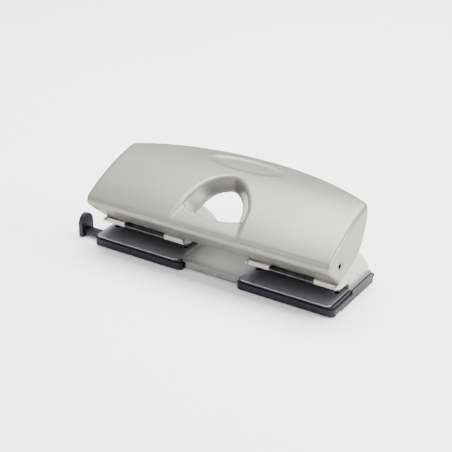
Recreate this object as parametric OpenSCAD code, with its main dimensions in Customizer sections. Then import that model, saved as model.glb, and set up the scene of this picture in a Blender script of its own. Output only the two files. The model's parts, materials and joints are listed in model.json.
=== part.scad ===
// Long desk hole punch: two punch heads on one base rail, worked by one wide lever.
// X runs along the punch, -Y is the side the paper goes in from, +Z is up.
// The origin is the middle of the base footprint, on the table.

/* [Hole pattern] */
// Distance between neighbouring holes in the paper
hole_pitch = 80; // [80:1:84]
// Diameter of a punch pin
pin_d = 5.5; // [5:0.1:6]
// Hole centre to paper edge
hole_margin = 12; // [11:0.5:12]

/* [Base] */
// Length of one chip tray along X
tray_len = 100; // [98:1:101]
// Depth of a chip tray from front to back
tray_depth = 80; // [80:1:82]
// Height of the cutting surface over the table
die_top = 12; // [12:0.1:12.5]

/* [Lever] */
// Overall half width of the lever
lever_half = 129.4; // [129:0.1:130]
// Swing of the lever from rest to fully pressed, in degrees
lever_swing = 33; // [30:1:33]
// Thickness of the lever's steel
lever_t = 1.5; // [1.2:0.1:1.5]

/* [Paper guide] */
// Distance from the middle of the punch to the guide's stop face
guide_stop = 148.5; // [140:0.5:170]

/* [Hidden] */
$fn = 64;
head_x = hole_pitch;            // centre of a head from the middle of the punch
pin_dx = hole_pitch / 2;        // each pin from the centre of its head
sheet = 1.5;                    // frame sheet
frame_half = 46;                // outer faces of a head frame's ears
ear_in = frame_half - sheet;    // inner faces of the ears

// vertical stack
foot_h = 1.4;
tray_z = 0.6;
tray_floor = 1.4;
tray_wall = 1.5;
tray_front_h = 7.2;
pad_top = die_top - 1.2;
pad_t = 1.5;
rail_top = 8;
rail_front = -33;
rail_back = 35.5;
guide_plate_z = die_top + 4.4;
guide_plate_t = 1.8;
shelf_z = 23.7;
shelf_top = shelf_z + sheet;

// places from front to back
throat_y = -3.5;
pin_y = throat_y - hole_margin;
die_front = -41.3;
half_depth = tray_depth / 2;
tray_lip_y = -38.5;
tray_split_y = -3.7;
hinge_y = half_depth - 2;
hinge_z = 7;
hinge_r = 2;
tray_pin_r = 1;

// lever pivot and press gear
axle_y = -28.5;
axle_z = 46.5;
axle_r = 3;
run_gap = 0.05;
press_arm = 13;
nose_r = 3;
nose_y = axle_y + press_arm * cos(lever_swing / 2);
nose_z = axle_z + press_arm * sin(lever_swing / 2);
pin_top = nose_z - nose_r - 0.04;
pin_tip = guide_plate_z + 0.1;
collar_z = pin_top - 3.6;
collar_t = 1.2;
collar_r = 4.2;

// lever shape: an arched face, a rolled nose and a crowned rear edge
face_r = 170;
face_c = [48, -83];
face_end_y = 60;
nose_bend = 9;
hem = [-25, 26];
under_angle = 42;
crown_r = 289.5;
crown_back = 55;
lip_depth = 5;
lip_front = 23.5;
flank_bend_z = 52;
flank_top_z = 86;
flank_top_half = lever_half - 1;
face_tilt = 23.8;
hand_half = 33.6;
hand_low = 14.5;
hand_high = 60;
hand_rim = 9;

// across and along the lever's sloping front wall
under_n = [-sin(under_angle), -cos(under_angle)];
under_d = [-cos(under_angle), sin(under_angle)];
nose_c = to_circle(hem - nose_bend * under_n, under_d, face_r - nose_bend);
face_start = face_c + (nose_c - face_c) * face_r / (face_r - nose_bend);

// paper guide
bar_y = -25.75;
bar_w = 10.5;
bar_z = 3;
bar_t = 2.8;
rib_h = 0.5;
bar_end = 75;

// ---------- helpers ----------

// extrudes an outline drawn in (y, z) along X from x0 over length t
module along_x(x0, t) {
    translate([x0, 0, 0]) rotate([90, 0, 90]) linear_extrude(t) children();
}

// a rod along X
module rod_x(x0, x1, y, z, r) {
    translate([x0, y, z]) rotate([0, 90, 0]) cylinder(h = x1 - x0, r = r);
}

// places one head's parts: side is -1 for left and 1 for right, local +X is outboard
module at_head(side) {
    translate([side * head_x, 0, 0]) mirror([side < 0 ? 1 : 0, 0, 0]) children();
}

// a rectangle with its own radius at each end of Y
module rounded_rect(x0, x1, y0, y1, r_front, r_back) {
    difference() {
        translate([x0, y0]) square([x1 - x0, y1 - y0]);
        for (corner = [[x0, y0, 1, 1, r_front], [x1, y0, -1, 1, r_front],
                       [x0, y1, 1, -1, r_back], [x1, y1, -1, -1, r_back]]) {
            corner_cut(corner);
        }
    }
}

// removes the square corner outside a radius
module corner_cut(c) {
    translate([c[0] + c[2] * c[4], c[1] + c[3] * c[4]]) difference() {
        translate([c[2] > 0 ? -c[4] - 1 : 0, c[3] > 0 ? -c[4] - 1 : 0]) square(c[4] + 1);
        circle(c[4]);
    }
}

// where the line from p along the unit vector d meets a circle of radius r about the face's centre
function to_circle(p, d, r) =
    let (w = p - face_c, along = w * d) p + d * (sqrt(along * along - w * w + r * r) - along);

function arc_pts(c, r, a0, a1, n) =
    [for (i = [0:n]) c + r * [cos(a0 + (a1 - a0) * i / n), sin(a0 + (a1 - a0) * i / n)]];

// ---------- base ----------

rail_half = 33.2;
rail_flange_half = 29.3;
rail_flange_z = 1.5;
rail_flange_t = 1.2;
pad_front = -36.5;
pad_front_half = 46;
pad_out = 48.3;
pad_back = 40;
pin_window = [10, 13];

module head_pad() {
    // plate under one head, wider behind the paper throat than in front of it
    translate([0, 0, pad_top - pad_t]) linear_extrude(pad_t) difference() {
        union() {
            translate([rail_half - head_x, pad_front]) {
                square([head_x - rail_half + pad_front_half, tray_split_y - pad_front + 1]);
            }
            rounded_rect(-head_x + rail_half - sheet, pad_out, tray_split_y, pad_back, 0.5, 5);
        }
        for (s = [-1, 1]) translate([s * pin_dx, pin_y]) square(pin_window, center = true);
        for (p = rivet_places) translate(p) circle(rivet_r);
    }
    for (s = [-1, 1]) hinge_knuckle(s * knuckle_x);
}

knuckle_x = 34;
knuckle_half = 3.7;

module hinge_knuckle(x) {
    difference() {
        union() {
            rod_x(x - knuckle_half, x + knuckle_half, hinge_y, hinge_z, hinge_r - 0.1);
            translate([x - knuckle_half, hinge_y - 1.5, hinge_z]) {
                cube([2 * knuckle_half, 3, pad_top - pad_t - hinge_z + 0.2]);
            }
        }
        rod_x(x - 5, x + 5, hinge_y, hinge_z, tray_pin_r);
    }
}

module base_rail() {
    color("lightgray") {
        // the low bridge between the heads, an inverted channel
        translate([-rail_half, rail_front, rail_top - sheet]) {
            cube([2 * rail_half, rail_back - rail_front, sheet]);
        }
        for (y = [rail_front, rail_back - rail_flange_t]) {
            translate([-rail_flange_half, y, rail_flange_z]) {
                cube([2 * rail_flange_half, rail_flange_t, rail_top - rail_flange_z]);
            }
        }
        // the step up to each head's pad
        for (s = [-1, 1]) {
            translate([s * (rail_half - sheet / 2) - sheet / 2, rail_front, rail_top - sheet]) {
                cube([sheet, rail_back - rail_front, pad_top - rail_top + sheet]);
            }
            at_head(s) head_pad();
        }
    }
}

// ---------- die plate ----------

rivet_r = 1.5;
rivet_places = [for (x = [-39.5, 39.5], y = [10, 28]) [x, y]];

die_half = 46.4;
die_back = 34.2;
panel_half = 33;
panel_back = -6.3;
panel_depth = 0.3;

module die_plate() {
    between_ears = ear_in - 0.3;
    color("silver") difference() {
        translate([0, 0, pad_top]) linear_extrude(die_top - pad_top) {
            rounded_rect(-die_half, die_half, die_front, throat_y - 0.5, 4.5, 0.5);
            translate([-between_ears, throat_y - 1.5]) square([2 * between_ears, die_back - throat_y + 1.5]);
        }
        // a shallow pressed panel guides the paper over the dies
        translate([-panel_half, die_front - 1, die_top - panel_depth]) {
            cube([2 * panel_half, panel_back - die_front + 1, 1]);
        }
        for (s = [-1, 1]) translate([s * pin_dx, pin_y, 0]) cylinder(h = 20, d = pin_d + 2 * run_gap);
        for (p = rivet_places) translate([p[0], p[1], 0]) cylinder(h = 20, r = rivet_r);
    }
}

// ---------- head frame ----------

// back edge of the frame's ear, from the top of the boss to the base
ear_back = [[-24, 56], [0, 52], [9, 45.5], [17, 37.5], [23.4, 31.4], [33.5, 17.9], [37.5, pad_top]];

module ear_outline() {
    difference() {
        union() {
            translate([axle_y, axle_z]) circle(10.5);
            polygon(concat(
                [[throat_y, pad_top], [throat_y, 15.4], [-6.5, 18.3], [-17, 18.5], [-29.5, 22.5],
                 [-29.5, 24.8], [-23.4, shelf_top], [-23.4, 28.2], [-35, 38.4]],
                ear_back));
        }
        translate([axle_y, axle_z]) circle(axle_r);
        // small punched slot and tooling dimple
        translate([-5.8, 18.6]) square([1.1, 3]);
        translate([11, 19.4]) circle(1);
    }
}

module head_frame() {
    color("gainsboro") difference() {
        union() {
            along_x(-frame_half, sheet) ear_outline();
            along_x(ear_in, sheet) ear_outline();
            // sloping back wall that joins the ears
            along_x(-ear_in - 0.1, 2 * ear_in + 0.2) intersection() {
                difference() {
                    ear_outline();
                    translate([-1.5, -1.1]) ear_outline();
                }
                translate([14, pad_top]) square([40, 50]);
            }
            // shelf that carries the springs, with a front lip in front of each pin
            translate([-ear_in - 0.1, -20, shelf_z]) cube([2 * ear_in + 0.2, 26, sheet]);
            for (s = [-1, 1]) translate([s * 33.8 - 10.8, -27, shelf_z]) cube([21.6, 8, sheet]);
            for (s = [-1, 1]) translate([s * 33.8 - 10.8, -27, 20.7]) cube([21.6, sheet, 4.5]);
            // paper stop at the back of the throat
            translate([-ear_in - 0.1, throat_y, die_top + 0.02]) cube([2 * ear_in + 0.2, 1.5, 3.2]);
            // feet riveted down through the die plate
            for (s = [-1, 1]) translate([s * 40.3 - 4.3, 4, die_top + 0.02]) cube([8.6, 30, sheet]);
        }
        for (s = [-1, 1]) translate([s * pin_dx, pin_y, 0]) cylinder(h = 40, d = pin_d + 2 * run_gap);
        for (p = rivet_places) translate([p[0], p[1], 0]) cylinder(h = 20, r = rivet_r);
    }
}

guide_plate_half = ear_in - 0.2;
guide_plate_front = pin_y - 4.5;

// lower guide and stripper plate, hung under the shelf
module guide_plate() {
    color("silver") difference() {
        union() {
            translate([-guide_plate_half, guide_plate_front, guide_plate_z]) {
                cube([2 * guide_plate_half, throat_y - 0.5 - guide_plate_front, guide_plate_t]);
            }
            translate([-guide_plate_half, throat_y - 2, guide_plate_z]) {
                cube([2 * guide_plate_half, 1.5, shelf_z - guide_plate_z - 0.02]);
            }
        }
        for (s = [-1, 1]) translate([s * pin_dx, pin_y, 0]) cylinder(h = 40, d = pin_d + 2 * run_gap);
    }
}

module frame_rivets() {
    color("dimgray") for (p = rivet_places) translate([p[0], p[1], 0]) {
        translate([0, 0, pad_top - pad_t - 0.6]) cylinder(h = 0.6, r = 2.4);
        translate([0, 0, pad_top - pad_t - 0.1]) cylinder(h = die_top - pad_top + pad_t + 1.8, r = rivet_r - 0.02);
        translate([0, 0, die_top + sheet + 0.05]) cylinder(h = 1, r1 = 2.6, r2 = 1.6);
    }
}

// ---------- lever pivot ----------

axle_end = lever_half - head_x - 1;

module axle() {
    color("silver") difference() {
        rod_x(-frame_half - 0.7, axle_end, axle_y, axle_z, axle_r);
        rod_x(axle_end - 3.5, axle_end + 1, axle_y, axle_z, axle_r - 0.7);
    }
}

module axle_clips() {
    color("dimgray") for (s = [-1, 1]) difference() {
        rod_x(s * 44 - 0.4, s * 44 + 0.4, axle_y, axle_z, 5);
        rod_x(s * 44 - 1, s * 44 + 1, axle_y, axle_z, axle_r);
        translate([s * 44 - 1, axle_y - 1.6, axle_z - 6]) cube([2, 3.2, 6]);
    }
}

// ---------- lever ----------

function face_angle(y) = acos((y - face_c[0]) / face_r);

// lower edge of the lever's flank, from the rear lip down to the hem of the front wall
flank_edge = [[21.6, 78.4], [19.6, 71.5], [17.3, 64.5], [13.4, 55.5], [10.2, 50.5], [6.3, 46.2],
              [1.5, 42.3], [-4, 40], [-10, 37.6], [-15, 35.6], [-20, 33.6], [-23.5, 31]];

// side view of the lever shell; inset is how far inside the outer skin it is drawn
module lever_profile(inset) {
    hem_in = hem - inset * under_n;
    past_hem = hem_in - 6 * under_d;
    face = arc_pts(face_c, face_r - inset, face_angle(face_start[0]), face_angle(face_end_y), 24);
    nose = arc_pts(nose_c, nose_bend - inset, 270 - under_angle, face_angle(face_start[0]), 10);
    lip = arc_pts(face_c, face_r - lip_depth, face_angle(face_end_y), face_angle(lip_front), 4);
    open_back = [[80, 95], [80, 10], [past_hem[0], 10], past_hem];
    tail = inset == 0 ? concat(lip, flank_edge, [hem - lever_t * under_n]) : open_back;
    polygon(concat(nose, face, tail));
}

// front view: flanks upright at the bottom, leaning in above the bend
module lever_front(inset) {
    low = lever_half - inset;
    high = flank_top_half - inset;
    polygon([[-low, 0], [low, 0], [low, flank_bend_z], [high, flank_top_z], [high, 120],
             [-high, 120], [-high, flank_top_z], [-low, flank_bend_z]]);
}

module lever_solid(inset) {
    intersection() {
        along_x(-lever_half - 1, 2 * lever_half + 2) lever_profile(inset);
        translate([0, 150, 0]) rotate([90, 0, 0]) linear_extrude(300) lever_front(inset);
        translate([0, crown_back - crown_r, 0]) cylinder(h = 120, r = crown_r - inset, $fn = 180);
    }
}

// hand opening seen square to the face: straight lower edge, arched above
module hand_outline(inset) {
    n = 24;
    polygon(concat([[-hand_half + inset, hand_low + inset]], [for (i = [n:-1:0]) [
        (hand_half - inset) * sign(cos(180 * i / n)) * pow(abs(cos(180 * i / n)), 0.8),
        hand_low + 6 + (hand_high - hand_low - 6 - inset) * sin(180 * i / n)
    ]], [[hand_half - inset, hand_low + inset]]));
}

module on_face() {
    translate([0, face_start[0], face_start[1]]) rotate([face_tilt, 0, 0]) children();
}

module lever_shell() {
    color("lightgray") difference() {
        union() {
            difference() {
                lever_solid(0);
                lever_solid(lever_t);
            }
            // turned-down rim of the hand opening
            intersection() {
                lever_solid(0);
                on_face() translate([0, 0, -hand_rim]) linear_extrude(2 * hand_rim) hand_outline(0);
            }
        }
        on_face() translate([0, 0, -30]) linear_extrude(60) hand_outline(lever_t);
        rod_x(-140, 140, axle_y, axle_z, axle_r + run_gap);
    }
}

yoke_x = 33;
web_half = 43.4;

// welded inside the lever: two cheeks on the axle and a round nose over the pins
module press_yoke() {
    color("silver") {
        on_nose() translate([-web_half, -0.75, 0]) cube([2 * web_half, 1.5, web_top]);
        on_nose() translate([-web_half, -0.75, web_top - 1.2]) cube([2 * web_half, 9, 1.2]);
        rod_x(-web_half, web_half, nose_y, nose_z, nose_r);
        for (s = [-1, 1]) difference() {
            along_x(s * (yoke_x + 0.75) - 0.75, 1.5) {
                translate([axle_y, axle_z]) circle(7);
                polygon([[axle_y, axle_z - 7], [nose_y + 0.2, nose_z - 2.6], [nose_y + 2.4, nose_z],
                         [nose_y - 2.4, nose_z + 9], [axle_y - 2, axle_z + 7]]);
            }
            rod_x(-50, 50, axle_y, axle_z, axle_r + run_gap);
        }
    }
}

// height of the web's top over the press nose, just under the lever's face
web_u = [-sin(face_tilt), cos(face_tilt)];
web_end = to_circle([nose_y, nose_z], web_u, face_r - lever_t - 0.3);
web_top = norm(web_end - [nose_y, nose_z]);

module on_nose() {
    translate([0, nose_y, nose_z]) rotate([face_tilt, 0, 0]) children();
}

// ---------- pins and springs ----------

pin_x = [-head_x - pin_dx, -head_x + pin_dx, head_x - pin_dx, head_x + pin_dx];

module punch_pin(i) {
    color("silver") translate([pin_x[i], pin_y, 0]) difference() {
        union() {
            translate([0, 0, pin_tip]) cylinder(h = pin_top - pin_tip, d = pin_d);
            translate([0, 0, collar_z]) cylinder(h = collar_t, r = collar_r);
        }
        // hollow-ground cutting end
        translate([-4, 0, pin_tip]) rotate([0, 90, 0]) cylinder(h = 8, r = 0.9, $fn = 24);
    }
}

spring_r = 3.5;
wire_r = 0.4;
spring_turns = 7;
seat_t = 0.6;

// one coil spring as a swept tube
module pin_spring(i) {
    low = shelf_top + seat_t + wire_r + 0.02;
    rise = collar_z - wire_r - 0.02 - low;
    per_turn = 14;
    sides = 6;
    rings = spring_turns * per_turn;
    points = [for (k = [0:rings]) for (s = [0:sides - 1])
        let (a = 360 * k / per_turn, b = 360 * s / sides, r = spring_r + wire_r * cos(b))
        [r * cos(a), r * sin(a), low + rise * k / rings + wire_r * sin(b)]];
    walls = [for (k = [0:rings - 1]) for (s = [0:sides - 1])
        let (t = (s + 1) % sides)
        [k * sides + s, k * sides + t, (k + 1) * sides + t, (k + 1) * sides + s]];
    start = [for (s = [sides - 1:-1:0]) s];
    finish = [for (s = [0:sides - 1]) rings * sides + s];
    color("silver") translate([pin_x[i], pin_y, 0]) {
        polyhedron(points, concat(walls, [start], [finish]));
    }
}

module spring_seats() {
    color("dimgray") for (x = pin_x) translate([x, pin_y, shelf_top]) difference() {
        cylinder(h = seat_t, r = 4.2);
        translate([0, 0, -1]) cylinder(h = 3, r = pin_d / 2 + 0.15);
    }
}

// ---------- chip tray ----------

tray_half = tray_len / 2;
foot_places = [for (x = [-41, 41], y = [-10, 28]) [x, y]];
slot_front = -36;
slot_back = -18.6;
slot_z = bar_z - 0.6;
grip_notch = [2, 10, 1.3];

// has_stop_side is true on the tray whose outer side the paper guide comes out of
module chip_tray(has_stop_side) {
    inner = tray_half - tray_wall;
    color([0.13, 0.13, 0.15]) difference() {
        union() {
            // shell
            difference() {
                translate([0, 0, tray_z]) linear_extrude(pad_top - tray_z) {
                    rounded_rect(-tray_half, tray_half, -half_depth, half_depth, 4.5, 3);
                }
                translate([0, 0, tray_z + tray_floor]) linear_extrude(20) {
                    rounded_rect(-inner, inner, tray_lip_y, half_depth - 4, 3.5, 0.2);
                }
                // the front and its corners are lower than the back
                translate([-tray_half - 1, -half_depth - 1, tray_front_h]) {
                    cube([tray_len + 2, half_depth + tray_split_y + 1, 10]);
                }
                // the inboard side passes under the base rail
                translate([-tray_half - 1, -34, 6.2]) cube([tray_wall + 2, 80, 10]);
                // the back is cut down to the hinge barrel
                translate([-tray_half - 1, half_depth - 4, hinge_z]) cube([tray_len + 2, 10, 10]);
            }
            // raised lip, set in behind the low front
            translate([0, 0, tray_z]) linear_extrude(pad_top - 0.3 - tray_z) difference() {
                rounded_rect(-inner, inner, tray_lip_y, tray_split_y, 3.5, 0.4);
                translate([-inner + 1.3, tray_lip_y + 1.3]) square([2 * inner - 2.6, 60]);
                translate([-tray_half, -34]) square([5, 60]);
            }
            rod_x(-tray_half, tray_half, hinge_y, hinge_z, hinge_r);
        }
        // ways for the paper guide, open at the top so that the tray can swing down past it
        for (s = has_stop_side ? [-1, 1] : [-1]) {
            translate([s * tray_half - 3, slot_front, slot_z]) cube([6, slot_back - slot_front, 12]);
        }
        // finger notch under the outer side
        translate([inner, -34, tray_z - 0.1]) cube(grip_notch);
        // hinge bore and gaps for the base's knuckles
        rod_x(-60, 60, hinge_y, hinge_z, tray_pin_r + run_gap);
        for (s = [-1, 1]) {
            translate([s * knuckle_x - knuckle_half - 0.3, half_depth - 4.5, hinge_z - 2.3]) {
                cube([2 * knuckle_half + 0.6, 6, 8]);
            }
        }
        for (p = foot_places) translate([p[0], p[1], 0]) cylinder(h = foot_h, r = 5);
    }
}

module tray_feet() {
    color("dimgray") for (p = foot_places) translate([p[0], p[1], 0]) cylinder(h = foot_h, r = 4.95);
}

module tray_pin() {
    color("silver") rod_x(-45, 45, hinge_y, hinge_z, tray_pin_r);
}

// ---------- paper guide ----------

track_gap = 0.2;

module guide_track(with_pocket) {
    color([0.2, 0.2, 0.22]) difference() {
        translate([-45.5, -35, 2.3]) cube([91, 15.9, pad_top - pad_t - 2.3]);
        translate([-60, bar_y - bar_w / 2 - track_gap, bar_z - track_gap]) {
            cube([120, bar_w + 2 * track_gap, bar_t + rib_h + 2 * track_gap]);
        }
        if (with_pocket) translate([-12, bar_y - 3.2, bar_z + bar_t]) cube([24, 6.4, 3.2]);
    }
}

leaf_r = 26;
leaf_half = 10.5;

// bowed strip in the left track that holds the guide where it is set
module guide_leaf_spring() {
    low = bar_z + bar_t + rib_h + 0.05;
    color("silver") translate([-head_x, bar_y + 3, low + leaf_r]) rotate([90, 0, 0]) {
        linear_extrude(6) intersection() {
            difference() {
                circle(leaf_r, $fn = 96);
                circle(leaf_r - 0.3, $fn = 96);
            }
            translate([-leaf_half, -leaf_r - 1]) square([2 * leaf_half, 8]);
        }
    }
}

module bar_section(grow) {
    translate([bar_y - bar_w / 2 - grow, bar_z - grow]) square([bar_w + 2 * grow, bar_t + 2 * grow]);
    for (k = [-1:1]) {
        translate([bar_y + k * 4.5 - 0.6 - grow, bar_z]) square([1.2 + 2 * grow, bar_t + rib_h + grow]);
    }
}

module guide_bar() {
    color([0.15, 0.15, 0.17]) difference() {
        along_x(-guide_stop - 3, bar_end + guide_stop + 3) bar_section(0);
        rod_x(-guide_stop - 4, -guide_stop + 4, bar_y, bar_z + bar_t / 2, 0.8);
    }
}

module guide_head() {
    half_w = 8.8;
    straight = 13;
    top = [for (a = [0:7.5:180]) [bar_y + half_w * cos(a), straight + 9.5 * sin(a)]];
    color([0.13, 0.13, 0.15]) difference() {
        along_x(-guide_stop - 4.5, 4.5) polygon(concat([[bar_y - half_w, 0.5], [bar_y + half_w, 0.5]], top));
        along_x(-guide_stop - 3, 4) bar_section(0);
        rod_x(-guide_stop - 6, -guide_stop, bar_y, bar_z + bar_t / 2, 0.85);
        rod_x(-guide_stop - 6, -guide_stop - 3.6, bar_y, bar_z + bar_t / 2, 1.6);
    }
}

module guide_screw() {
    color("dimgray") {
        rod_x(-guide_stop - 4.4, -guide_stop - 3.6, bar_y, bar_z + bar_t / 2, 1.5);
        rod_x(-guide_stop - 3.7, -guide_stop + 3.5, bar_y, bar_z + bar_t / 2, 0.8);
    }
}

// ---------- output ----------

base_rail();
at_head(-1) die_plate();  // left_die_plate
at_head(1) die_plate();  // right_die_plate
at_head(-1) head_frame();  // left_head_frame
at_head(1) head_frame();  // right_head_frame
at_head(-1) guide_plate();  // left_guide_plate
at_head(1) guide_plate();  // right_guide_plate
at_head(-1) frame_rivets();  // left_frame_rivets
at_head(1) frame_rivets();  // right_frame_rivets
at_head(-1) axle();  // left_axle
at_head(1) axle();  // right_axle
at_head(-1) axle_clips();  // left_axle_clips
at_head(1) axle_clips();  // right_axle_clips
lever_shell();
at_head(-1) press_yoke();  // left_press_yoke
at_head(1) press_yoke();  // right_press_yoke
punch_pin(0);  // punch_pin_1
punch_pin(1);  // punch_pin_2
punch_pin(2);  // punch_pin_3
punch_pin(3);  // punch_pin_4
pin_spring(0);  // pin_spring_1
pin_spring(1);  // pin_spring_2
pin_spring(2);  // pin_spring_3
pin_spring(3);  // pin_spring_4
spring_seats();
at_head(-1) chip_tray(true);  // left_chip_tray
at_head(1) chip_tray(false);  // right_chip_tray
at_head(-1) tray_feet();  // left_tray_feet
at_head(1) tray_feet();  // right_tray_feet
at_head(-1) tray_pin();  // left_tray_pin
at_head(1) tray_pin();  // right_tray_pin
at_head(-1) guide_track(true);  // left_guide_track
at_head(1) guide_track(false);  // right_guide_track
guide_leaf_spring();
guide_bar();
guide_head();
guide_screw();
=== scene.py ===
"""Looks of the desk hole punch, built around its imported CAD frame. Metres, +Z up."""
import json
import math

import bpy
import numpy as np
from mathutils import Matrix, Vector


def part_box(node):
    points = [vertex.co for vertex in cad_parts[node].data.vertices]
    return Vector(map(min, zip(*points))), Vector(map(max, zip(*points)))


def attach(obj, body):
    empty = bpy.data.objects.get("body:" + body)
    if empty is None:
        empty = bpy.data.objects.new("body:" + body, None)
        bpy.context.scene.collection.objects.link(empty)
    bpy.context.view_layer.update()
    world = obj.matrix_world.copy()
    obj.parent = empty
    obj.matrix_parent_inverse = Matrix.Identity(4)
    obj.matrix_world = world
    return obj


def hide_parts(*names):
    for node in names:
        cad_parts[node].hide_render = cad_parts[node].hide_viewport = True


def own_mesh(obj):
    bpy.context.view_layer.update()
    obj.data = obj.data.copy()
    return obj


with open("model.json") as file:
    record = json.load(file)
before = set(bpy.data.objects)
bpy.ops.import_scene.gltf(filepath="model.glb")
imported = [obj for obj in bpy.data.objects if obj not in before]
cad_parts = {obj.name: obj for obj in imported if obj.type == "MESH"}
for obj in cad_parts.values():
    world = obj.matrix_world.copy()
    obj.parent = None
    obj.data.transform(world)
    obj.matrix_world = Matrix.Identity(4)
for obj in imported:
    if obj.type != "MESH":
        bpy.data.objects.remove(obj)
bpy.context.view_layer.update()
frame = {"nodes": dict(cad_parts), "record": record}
nodes = frame["nodes"]
MM = 0.001

# ---------------------------------------------------------------- materials


class Nodes:
    """A short way to write one material's node tree."""

    def __init__(self, name):
        self.mat = bpy.data.materials.new(name)
        self.mat.use_nodes = True
        self.tree = self.mat.node_tree
        self.shader = self.tree.nodes["Principled BSDF"]
        self.where = self.add("ShaderNodeTexCoord").outputs["Object"]

    def add(self, kind, **sockets):
        node = self.tree.nodes.new(kind)
        for key, value in sockets.items():
            node.inputs[key.replace("_", " ")].default_value = value
        return node

    def link(self, a, b):
        self.tree.links.new(a, b)

    def noise(self, scale, detail=3.0, rough=0.55, stretch=(1, 1, 1)):
        mapping = self.add("ShaderNodeMapping")
        mapping.inputs["Scale"].default_value = stretch
        self.link(self.where, mapping.inputs["Vector"])
        node = self.add("ShaderNodeTexNoise", Scale=scale, Detail=detail, Roughness=rough)
        self.link(mapping.outputs["Vector"], node.inputs["Vector"])
        return node.outputs["Fac"]

    def ramp(self, fac, stops):
        node = self.add("ShaderNodeValToRGB")
        ramp = node.color_ramp
        while len(ramp.elements) < len(stops):
            ramp.elements.new(0.5)
        for element, (place, colour) in zip(ramp.elements, stops):
            element.position = place
            element.color = (*colour, 1)
        self.link(fac, node.inputs["Fac"])
        return node.outputs["Color"]

    def spread(self, fac, low, high):
        node = self.add("ShaderNodeMapRange")
        node.inputs["To Min"].default_value = low
        node.inputs["To Max"].default_value = high
        self.link(fac, node.inputs["Value"])
        return node.outputs["Result"]

    def blend(self, fac, a, b, kind):
        node = self.add("ShaderNodeMix")
        node.data_type = "RGBA"
        node.blend_type = kind
        for socket, value in ((node.inputs["Factor"], fac), (node.inputs["A"], a), (node.inputs["B"], b)):
            self.feed(socket, value)
        return node.outputs["Result"]

    def feed(self, socket, value):
        if isinstance(value, bpy.types.NodeSocket):
            self.link(value, socket)
        elif isinstance(value, tuple):
            socket.default_value = (*value, 1)
        else:
            socket.default_value = value

    def bump(self, height, strength, distance, below=None):
        node = self.add("ShaderNodeBump", Strength=strength, Distance=distance)
        self.link(height, node.inputs["Height"])
        if below is not None:
            self.link(below, node.inputs["Normal"])
        return node.outputs["Normal"]

    def set(self, **sockets):
        for key, value in sockets.items():
            self.feed(self.shader.inputs[key.replace("_", " ")], value)


def shade(colour, factor):
    return tuple(c * factor for c in colour)


def painted_steel(name, colour, roughness, metal):
    """Satin lacquer: a fine orange-peel skin, faint mottling and slow changes of gloss."""
    m = Nodes(name)
    mottle = m.noise(60, 4)
    grain = m.noise(2600, 2, 0.7)
    slow = m.noise(14, 2)
    base = m.ramp(mottle, [(0.25, shade(colour, 0.96)), (0.75, shade(colour, 1.04))])
    speck = m.ramp(grain, [(0.35, (0.93,) * 3), (0.65, (1.05,) * 3)])
    m.set(Base_Color=m.blend(1.0, base, speck, "MULTIPLY"), Metallic=metal)
    m.set(Roughness=m.spread(slow, roughness - 0.05, roughness + 0.06))
    peel = m.bump(m.noise(900, 2), 0.05, 0.0004)
    m.set(Normal=m.bump(grain, 0.06, 0.0001, peel))
    return m.mat


def plated_steel(name, colour, roughness, grain=(1, 30, 30), metal=1.0):
    """Plated or ground steel: fine lines along one direction, and faint scuffs."""
    m = Nodes(name)
    lines = m.noise(420, 4, 0.6, grain)
    scuff = m.noise(95, 5, 0.65)
    m.set(Base_Color=m.ramp(lines, [(0.3, shade(colour, 0.9)), (0.7, shade(colour, 1.06))]), Metallic=metal)
    rough = m.spread(scuff, roughness - 0.06, roughness + 0.10)
    m.set(Roughness=rough, Normal=m.bump(lines, 0.05, 0.0001))
    return m.mat


def moulded_plastic(name, colour, roughness):
    """Spark-eroded black plastic: fine even grain with a little dust in it."""
    m = Nodes(name)
    grain = m.noise(3200, 3, 0.6)
    dust = m.noise(45, 5, 0.6)
    m.set(Base_Color=m.ramp(dust, [(0.35, colour), (0.8, shade(colour, 1.5))]))
    m.set(Roughness=m.spread(dust, roughness - 0.05, roughness + 0.07), Specular_IOR_Level=0.2)
    m.set(Normal=m.bump(grain, 0.18, 0.0001))
    return m.mat


def blackened_steel(name, colour):
    """Oil-blackened steel: almost matt, with browner rubbed spots."""
    m = Nodes(name)
    rub = m.noise(120, 5, 0.65)
    m.set(Base_Color=m.ramp(rub, [(0.4, colour), (0.85, shade(colour, 2.2))]), Metallic=0.3)
    m.set(Roughness=m.spread(rub, 0.5, 0.68), Specular_IOR_Level=0.2)
    m.set(Normal=m.bump(m.noise(1500, 3), 0.1, 0.0001))
    return m.mat


def dull_rubber(name, colour):
    m = Nodes(name)
    pores = m.noise(1800, 4, 0.7)
    m.set(Base_Color=m.ramp(pores, [(0.3, colour), (0.8, shade(colour, 1.4))]), Roughness=0.85)
    m.set(Normal=m.bump(pores, 0.3, 0.0002))
    return m.mat


MATERIALS = {
    "lever_paint": painted_steel("lever_paint", (0.180, 0.179, 0.156), 0.33, 0.45),
    "frame_paint": painted_steel("frame_paint", (0.37, 0.36, 0.335), 0.34, 0.5),
    "plated_steel": plated_steel("plated_steel", (0.21, 0.21, 0.235), 0.46, metal=0.8),
    "ground_steel": plated_steel("ground_steel", (0.60, 0.60, 0.62), 0.20, (30, 30, 1)),
    "dark_steel": blackened_steel("dark_steel", (0.10, 0.10, 0.108)),
    "spring_steel": plated_steel("spring_steel", (0.42, 0.42, 0.44), 0.30, (30, 30, 1)),
    "tray_plastic": moulded_plastic("tray_plastic", (0.009, 0.009, 0.014), 0.42),
    "guide_plastic": moulded_plastic("guide_plastic", (0.009, 0.009, 0.013), 0.36),
    "foot_rubber": dull_rubber("foot_rubber", (0.035, 0.035, 0.035)),
}
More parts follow.
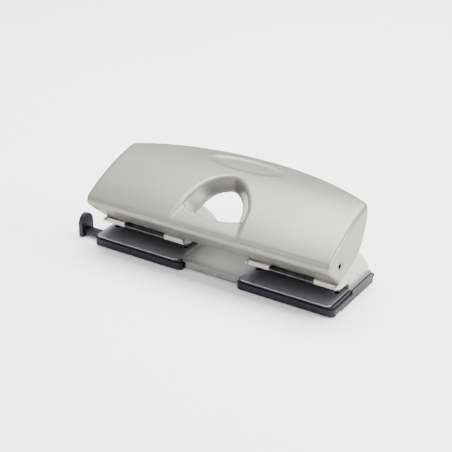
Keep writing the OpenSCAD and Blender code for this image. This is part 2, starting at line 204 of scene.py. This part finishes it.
# nodes that look different from the rest of their slot: axles coloured dark as painted shade standing in
# for the shaded hollow of the bore they show in, and a rail coloured darker as painted shade under the
# lever, and glossier
# the axles' dark colour is painted shade for the dark hollow of the lever's bore
AXLE_BORE_SHADE = plated_steel("axle_steel_painted_bore_shade", (0.09, 0.09, 0.095), 0.30, (30, 30, 1))
OWN_LOOKS = {
    "left_axle": AXLE_BORE_SHADE,
    "right_axle": AXLE_BORE_SHADE,
    # the rail's darker colour is painted shade, for the shade and dark reflection its top has under the
    # lever
    "base_rail": painted_steel("rail_paint_painted_shade", (0.23, 0.23, 0.225), 0.28, 0.5),
}

# ---------------------------------------------------------------- CAD nodes that keep their shape

# how far each kind of CAD edge is rounded, in millimetres
EDGE = {"tray": 0.5, "head_frame": 0.35, "die_plate": 0.28, "guide_head": 0.9, "guide_bar": 0.2,
        "base_rail": 0.4, "guide_track": 0.25, "tray_feet": 0.3}


def soften(obj, width):
    """Joins the node's faces, rounds its edges and shades it smooth. The CAD mesh itself stays."""
    weld = obj.modifiers.new("weld", "WELD")
    weld.merge_threshold = 0.002 * MM
    bevel = obj.modifiers.new("edges", "BEVEL")
    bevel.width = width * MM
    bevel.segments = 3
    bevel.limit_method = "ANGLE"
    bevel.angle_limit = math.radians(35)
    bevel.harden_normals = False
    bevel.use_clamp_overlap = True
    normals = obj.modifiers.new("normals", "WEIGHTED_NORMAL")
    normals.keep_sharp = False


def edge_width(name):
    return next((w for part, w in EDGE.items() if part in name), 0.12)


def dress_cad_nodes():
    slots = {s["node"]: s["material_slot"] for s in frame["record"]["subparts"]}
    for name, obj in nodes.items():
        obj.data.materials.clear()
        obj.data.materials.append(OWN_LOOKS.get(name, MATERIALS[slots[name]]))
        soften(obj, edge_width(name))


# ---------------------------------------------------------------- meshes from distance fields


def round_max(a, b, r):
    """Intersection of two solids given as distances, with the edge between them rounded to radius r."""
    return np.minimum(np.maximum(a, b), -r) + np.hypot(np.maximum(a + r, 0), np.maximum(b + r, 0))


def smooth_step(x, low, high):
    t = np.clip((x - low) / (high - low), 0, 1)
    return t * t * (3 - 2 * t)


def outline_distance(px, py, points):
    """Signed distance to a closed outline, negative inside."""
    px, py = np.broadcast_arrays(px, py)
    best = np.full(px.shape, 1e9)
    inside = np.zeros(px.shape, bool)
    for (ax, ay), (bx, by) in zip(points, points[1:] + points[:1]):
        ex, ey = bx - ax, by - ay
        t = np.clip(((px - ax) * ex + (py - ay) * ey) / (ex * ex + ey * ey), 0, 1)
        best = np.minimum(best, (px - ax - t * ex) ** 2 + (py - ay - t * ey) ** 2)
        if ay != by:
            crosses = (ay > py) != (by > py)
            inside ^= crosses & (px < ax + (py - ay) * ex / ey)
    return np.sqrt(best) * np.where(inside, -1, 1)


CORNERS = [(i, j, k) for i in (0, 1) for j in (0, 1) for k in (0, 1)]
CELL_EDGES = [(a, b) for a in range(8) for b in range(a + 1, 8)
              if sum(abs(p - q) for p, q in zip(CORNERS[a], CORNERS[b])) == 1]


def field_surface(field, low, high, step):
    """Points and quads of the closed surface where field is zero. field takes x, y, z in millimetres."""
    axes = [np.arange(lo, hi + step, step) for lo, hi in zip(low, high)]
    values = np.stack([field(np.full((1, 1), x), axes[1][:, None], axes[2][None, :]) for x in axes[0]])
    inside = values < 0
    shape = [n - 1 for n in values.shape]
    count = np.zeros(shape, np.int8)
    for i, j, k in CORNERS:
        count += inside[i:i + shape[0], j:j + shape[1], k:k + shape[2]]
    cells = np.argwhere((count > 0) & (count < 8))
    index = np.full(shape, -1)
    index[tuple(cells.T)] = np.arange(len(cells))
    at = [values[tuple((cells + c).T)] for c in CORNERS]
    total = np.zeros((len(cells), 3))
    hits = np.zeros(len(cells))
    for a, b in CELL_EDGES:
        cut = (at[a] < 0) != (at[b] < 0)
        t = at[a][cut] / (at[a][cut] - at[b][cut])
        pa, pb = np.array(CORNERS[a], float), np.array(CORNERS[b], float)
        total[cut] += pa + t[:, None] * (pb - pa)
        hits[cut] += 1
    points = settle(np.array(low) + step * (cells + total / hits[:, None]), field, step)
    quads = []
    for axis in range(3):
        u, v = [(1, 2), (2, 0), (0, 1)][axis]
        near, far = np.moveaxis(inside, axis, 0)[:-1], np.moveaxis(inside, axis, 0)[1:]
        near, far = np.moveaxis(near, 0, axis), np.moveaxis(far, 0, axis)
        spots = np.argwhere(near != far)
        spots = spots[(spots[:, u] > 0) & (spots[:, v] > 0)]
        steps = np.zeros((4, 3), int)
        steps[1, u], steps[2, u], steps[2, v], steps[3, v] = -1, -1, -1, -1
        ring = np.stack([index[tuple((spots + s).T)] for s in steps], 1)
        flip = ~near[tuple(spots.T)]
        ring[flip] = ring[flip][:, ::-1]
        quads.append(ring)
    return points, np.concatenate(quads)


def slope_of(field, points):
    here = field(*points.T)
    tiny = 0.02
    return here, np.stack([(field(*(points + tiny * axis).T) - here) / tiny for axis in np.eye(3)], 1)


def settle(points, field, step):
    """Moves each point along the field's slope onto its zero surface."""
    for _ in range(3):
        here, slope = slope_of(field, points)
        move = here[:, None] * slope / np.maximum((slope ** 2).sum(1, keepdims=True), 0.2)
        points = points - np.clip(move, -0.5 * step, 0.5 * step)
    return points


def slide_to_edge(points, field, cut, step):
    """Moves points within the surface until they lie on the cut's edge."""
    for _ in range(4):
        _, normal = slope_of(field, points)
        normal /= np.linalg.norm(normal, axis=1, keepdims=True)
        here, slope = slope_of(cut, points)
        slope -= (slope * normal).sum(1, keepdims=True) * normal
        move = here[:, None] * slope / np.maximum((slope ** 2).sum(1, keepdims=True), 0.15)
        points = settle(points - np.clip(move, -0.6 * step, 0.6 * step), field, step)
    return points


def trim_surface(points, quads, field, cut, step):
    """Keeps the part of the surface where cut is negative, with clean edges where it is zero."""
    side = cut(*points.T)
    close = np.abs(side) < 0.3 * step
    points[close] = slide_to_edge(points[close], field, cut, step)
    side[close] = 0
    faces = [tuple(q) for q in quads[(side[quads] <= 0).all(1)]]
    faces = [f for f in faces if any(side[i] < 0 for i in f)]
    mixed = quads[(side[quads] < 0).any(1) & (side[quads] > 0).any(1)]
    added, known = [], {}

    def edge_point(i, j):
        key = (min(i, j), max(i, j))
        if key not in known:
            known[key] = len(points) + len(added)
            t = side[i] / (side[i] - side[j])
            added.append(points[i] + t * (points[j] - points[i]))
        return known[key]

    for quad in mixed.tolist():
        kept = []
        for i, j in zip(quad, quad[1:] + quad[:1]):
            if side[i] <= 0:
                kept.append(i)
            if side[i] * side[j] < 0:
                kept.append(edge_point(i, j))
        if len(kept) > 2:
            faces.append(tuple(kept))
    added = slide_to_edge(np.array(added), field, cut, step)
    return np.concatenate([points, added]), faces


def mesh_object(name, points, faces):
    """Makes a smooth-shaded object from points in millimetres, without the points no face uses."""
    used = sorted({i for face in faces for i in face})
    new = {old: k for k, old in enumerate(used)}
    mesh = bpy.data.meshes.new(name)
    mesh.from_pydata((points[used] * MM).tolist(), [], [[new[i] for i in face] for face in faces])
    mesh.polygons.foreach_set("use_smooth", [True] * len(mesh.polygons))
    mesh.update()
    obj = bpy.data.objects.new(name, mesh)
    bpy.context.scene.collection.objects.link(obj)
    return obj


# ---------------------------------------------------------------- lever (millimetres)

SKIN = 1.5                    # thickness of the lever's steel
LIP = 5.0                     # depth of the rear edge's turned-down lip
LIP_FRONT = 22.5              # the lip ends here against the flanks
HALF = 129.4                  # half width at the bottom of the flanks
BEND_Z, LEAN = 52.0, math.atan2(1.0, 34.0)
AXLE = (-28.5, 46.5)
BORE_R = 3.1
FACE_CENTRE, FACE_R = (48.0, -83.0), 170.0
HEM, UNDER_ANGLE = (-25.0, 26.0), math.radians(42)
HEM_CORNER = 9.0              # radius of the flanks' lower front corners
NOSE_R = 9.0                  # rounding between the face and the underside
CROWN_R, CROWN_BACK = 289.5, 55.0
CROWN_CORNER = 5.0            # rounding between the rear edge and the flanks
FACE_EDGE, FACE_BEND = 5.5, 2.8       # rounding between face and flank, at the top and low down
BEND_FADE = (55, 85)          # heights between which one rounding turns into the other
DISH_DEEP, DISH_R = 1.0, 6.2  # dished ring round the axle's bore
FACE_START, TILT = (-45.0, 59.2), math.radians(23.8)
FLANK = [(-80, 0), (-6, 0), (-14.5, 24), (-23.5, 32.1), (-20, 33.6), (-15, 35.6), (-10, 37.6), (-4, 40.0),
         (1.5, 42.3), (6.3, 46.2), (10.2, 50.5), (13.4, 55.5), (17.3, 64.5), (19.6, 71.5), (21.6, 78.4),
         (60, 78.4), (60, 120), (-80, 120)]


def face_distance(y, z):
    return np.hypot(y - FACE_CENTRE[0], z - FACE_CENTRE[1]) - FACE_R


def axle_distance(y, z):
    return np.hypot(y - AXLE[0], z - AXLE[1])


def along_face(y, z):
    """Distance up the face from where the nose begins."""
    return (y - FACE_START[0]) * math.cos(TILT) + (z - FACE_START[1]) * math.sin(TILT)


# the hand opening, in millimetres across and up the face
ARCH_HALF, ARCH_LOW, ARCH_TOP = 33.3, 16.0, 61.5
LEG_SPREAD = 0.16             # the recess widens by this much for each millimetre below the arch
ARCH_POWER = 1.7
ARCH_SKEW = 3.0               # the arch's top stands this far towards the guide's side
SKEW_FADE = (25, 55)          # distances up the face between which that shift comes in
# lean of the scoop's wall at the sides, and how much less it is at the top
FUNNEL_SIDE, FUNNEL_TOP_LESS = 0.7, 0.2
FUNNEL_FADE = (22, 45)
SCOOP_DEEP = 13.0
SCOOP_FOOT_R, SCOOP_RIM_R = 1.5, 2.6
SHALLOW = 2.2                 # depth of the recess at the sheet's lower edge of the opening
EDGE_LOW, EDGE_RISE, EDGE_SPAN = 7.4, 6.4, 31.0
OPENING_INSET, OPENING_DROP, OPENING_R = 0.9, 0.4, 3.0
PALM_X, PALM_V, PALM_HALF, PALM_WIDE, PALM_DEEP = -3.0, 82.0, 40.0, 10.0, 1.0
PALM_FADE = (0.72, 1.1)       # where the recess's floor ends and where its rim does, as shares of its size
KEPT = -20                    # a cut value well inside the sheet
LEVER_LOW, LEVER_HIGH = (-133, -52, 15), (133, 58, 92)


def arch_distance(x, v):
    """How far a point is outside the hand opening's arch, seen square to the face. Its legs run on down."""
    x = np.abs(x + ARCH_SKEW * smooth_step(v, *SKEW_FADE))
    p = ARCH_POWER
    across = x / ARCH_HALF
    up = np.maximum(v - ARCH_LOW, 0) / (ARCH_TOP - ARCH_LOW)
    level = np.maximum((across ** p + up ** p) ** (1 / p), 0.05)
    slope_x = (across / level) ** (p - 1) / ARCH_HALF
    slope_v = (up / level) ** (p - 1) / (ARCH_TOP - ARCH_LOW)
    arch = (level - 1) / np.maximum(np.hypot(slope_x, slope_v), 0.5 / ARCH_TOP)
    legs = x - ARCH_HALF - LEG_SPREAD * (ARCH_LOW - v)
    return np.where(v > ARCH_LOW, arch, legs)


def scoop_wall(x, y, z, v):
    """Distance outside the scoop's wall, which leans in as a funnel, more at the sides than at the top."""
    depth = np.maximum(-face_distance(y, z), 0)
    return arch_distance(x, v) + (FUNNEL_SIDE - FUNNEL_TOP_LESS * smooth_step(v, *FUNNEL_FADE)) * depth


def lower_edge(x):
    return EDGE_LOW + EDGE_RISE * np.minimum((x / EDGE_SPAN) ** 2, 1.3)


def lever_outer(x, y, z):
    """The lever as a solid block with its hand scoop and palm recess pressed in."""
    face = face_distance(y, z)
    v = along_face(y, z)
    under = (y - HEM[0]) * -math.sin(UNDER_ANGLE) + (z - HEM[1]) * -math.cos(UNDER_ANGLE)
    # shallow oblong recess for the palm
    reach = np.hypot((x - PALM_X) / PALM_HALF, (v - PALM_V) / PALM_WIDE)
    face = face + PALM_DEEP * (1 - smooth_step(reach, *PALM_FADE))
    side = np.hypot(x, y - (CROWN_BACK - CROWN_R)) - CROWN_R
    lean = (np.abs(x) - HALF) * math.cos(LEAN) + (z - BEND_Z) * math.sin(LEAN)
    ring = axle_distance(y, z)
    flank = round_max(np.abs(x) - HALF, lean, 0.5) + DISH_DEEP * (1 - smooth_step(ring, BORE_R, DISH_R))
    walls = round_max(flank, side, CROWN_CORNER)
    bend = FACE_BEND + (FACE_EDGE - FACE_BEND) * smooth_step(z, *BEND_FADE)
    block = round_max(round_max(face, under, NOSE_R), walls, bend)
    # the scoop: shallow below the opening's lower edge, a deep funnel above it
    depth = np.maximum(-face, 0)
    past_edge = v - lower_edge(x)
    shallow = SHALLOW * smooth_step(v, -8, 14) + 0.5 * smooth_step(past_edge, -1.4, 0.8)
    floor = depth - shallow - (SCOOP_DEEP - SHALLOW) * smooth_step(past_edge, 0.6, 3)
    wall = scoop_wall(x, y, z, v)
    scoop = round_max(wall, floor, SCOOP_FOOT_R)
    return round_max(block, -scoop, SCOOP_RIM_R)


def lever_cut(x, y, z):
    """Negative where the sheet is kept, zero along its hems and the edges of its holes."""
    v = along_face(y, z)
    below_edge = OPENING_DROP - (v - lower_edge(x))
    opening = -round_max(scoop_wall(x, y, z, v) + OPENING_INSET, below_edge, OPENING_R)
    x = np.abs(x)
    along = (z - HEM[1]) / math.sin(UNDER_ANGLE)
    corner = np.hypot(np.maximum(x - HALF + HEM_CORNER, 0), np.maximum(HEM_CORNER - along, 0)) - HEM_CORNER
    corner = corner - np.maximum(along - HEM_CORNER, 0)
    hem = np.where(y < 10, np.maximum(corner, -along), KEPT)
    flank = np.minimum(x - HALF + 7, outline_distance(y, z, FLANK))
    lip = np.minimum(-face_distance(y, z) - LIP, y - LIP_FRONT)
    bore = np.where(x > 100, BORE_R - axle_distance(y, z), KEPT)
    return np.maximum.reduce([hem, flank, lip, opening, bore])


def build_lever():
    step = 1.1
    points, quads = field_surface(lever_outer, LEVER_LOW, LEVER_HIGH, step)
    points, faces = trim_surface(points, quads, lever_outer, lever_cut, step)
    lever = mesh_object("lever_skin", points, faces)
    sheet = lever.modifiers.new("sheet", "SOLIDIFY")
    sheet.thickness = SKIN * MM
    sheet.offset = -1
    sheet.use_even_offset = True
    sheet.use_quality_normals = True
    lever.data.materials.append(MATERIALS["lever_paint"])
    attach(lever, "lever")
    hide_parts("lever_shell")


# ---------------------------------------------------------------- springs


WIRE = 0.42 * MM              # radius of the spring's wire
TURNS = 8.5
DEAD = 0.09                   # share of the coil at each end that lies flat
RINGS, SIDES = 260, 10


def build_spring(number):
    """A close-ended coil spring, wound as a swept wire in the place of its CAD solid."""
    low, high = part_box(f"pin_spring_{number}")
    centre = (low + high) / 2
    radius = (high.x - low.x) / 2 - WIRE
    height = high.z - low.z - 2 * WIRE
    flat = 2 * WIRE / height
    points = []
    for k in range(RINGS + 1):
        t = k / RINGS
        a = 2 * math.pi * TURNS * t
        rise = float(np.interp(t, [0, DEAD, 1 - DEAD, 1], [0, flat, 1 - flat, 1]))
        for side in range(SIDES):
            b = 2 * math.pi * side / SIDES
            r = radius + WIRE * math.cos(b)
            points.append((centre.x + r * math.cos(a), centre.y + r * math.sin(a),
                           low.z + WIRE + height * rise + WIRE * math.sin(b)))
    faces = []
    for k in range(RINGS):
        for side in range(SIDES):
            after = (side + 1) % SIDES
            here, above = k * SIDES, (k + 1) * SIDES
            faces.append((here + side, here + after, above + after, above + side))
    faces.append(tuple(range(SIDES - 1, -1, -1)))
    faces.append(tuple(RINGS * SIDES + side for side in range(SIDES)))
    mesh = bpy.data.meshes.new(f"coil_{number}")
    mesh.from_pydata(points, [], faces)
    mesh.polygons.foreach_set("use_smooth", [True] * len(mesh.polygons))
    coil = bpy.data.objects.new(f"coil_{number}", mesh)
    bpy.context.scene.collection.objects.link(coil)
    coil.data.materials.append(MATERIALS["spring_steel"])
    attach(coil, "base")
    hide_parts(f"pin_spring_{number}")
    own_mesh(coil)


# ---------------------------------------------------------------- stage, light and camera


def build_stage():
    bpy.ops.mesh.primitive_plane_add(size=8, location=(0, 0, -0.0004))
    floor = bpy.context.object
    floor.name = "floor"
    m = Nodes("floor")
    m.set(Base_Color=m.ramp(m.noise(3, 2), [(0.3, (0.93,) * 3), (0.7, (0.95,) * 3)]), Roughness=0.95)
    floor.data.materials.append(m.mat)
    build_world()


def build_world():
    """A soft white room that is darker towards the horizon."""
    world = bpy.data.worlds.new("soft")
    world.use_nodes = True
    tree = world.node_tree
    direction = tree.nodes.new("ShaderNodeTexCoord")
    split = tree.nodes.new("ShaderNodeSeparateXYZ")
    fade = tree.nodes.new("ShaderNodeMapRange")
    fade.interpolation_type = "SMOOTHSTEP"
    for socket, value in (("From Min", 0.05), ("From Max", 0.75), ("To Min", 0.22), ("To Max", 1.65)):
        fade.inputs[socket].default_value = value
    tree.links.new(direction.outputs["Generated"], split.inputs["Vector"])
    tree.links.new(split.outputs["Z"], fade.inputs["Value"])
    tree.links.new(fade.outputs["Result"], tree.nodes["Background"].inputs["Strength"])
    tree.nodes["Background"].inputs["Color"].default_value = (1, 1, 1, 1)
    bpy.context.scene.world = world


def area_light(name, place, aim, size, power):
    data = bpy.data.lights.new(name, "AREA")
    data.shape = "RECTANGLE"
    data.size, data.size_y = size
    data.energy = power
    light = bpy.data.objects.new(name, data)
    light.location = place
    light.rotation_euler = (Vector(aim) - Vector(place)).to_track_quat("-Z", "Y").to_euler()
    bpy.context.scene.collection.objects.link(light)


def build_lights():
    area_light("over", (0.0, 0.45, 1.7), (0, 0, 0), (1.8, 1.3), 125)
    area_light("right", (1.55, 0.5, 0.45), (0, 0, 0.05), (0.6, 0.7), 46)
    area_light("front", (-0.6, -1.6, 0.9), (0, 0, 0.03), (0.9, 0.5), 8)


CAMERA_AIM = (-0.00518, 0, 0.03678)
CAMERA_DISTANCE = 1.18839
CAMERA_AZIMUTH, CAMERA_ELEVATION = math.radians(32.31), math.radians(27.07)


def build_camera():
    data = bpy.data.cameras.new("camera")
    data.lens, data.sensor_width = 101.86, 36
    data.clip_start, data.clip_end = 0.05, 20
    camera = bpy.data.objects.new("camera", data)
    level = math.cos(CAMERA_ELEVATION)
    back = Vector((math.sin(CAMERA_AZIMUTH) * level, -math.cos(CAMERA_AZIMUTH) * level,
                   math.sin(CAMERA_ELEVATION)))
    camera.location = Vector(CAMERA_AIM) + back * CAMERA_DISTANCE
    camera.rotation_euler = (-back).to_track_quat("-Z", "Y").to_euler()
    bpy.context.scene.collection.objects.link(camera)
    bpy.context.scene.camera = camera


build_camera()
build_stage()
build_lights()
dress_cad_nodes()
build_lever()
for spring in (1, 2, 3, 4):
    build_spring(spring)
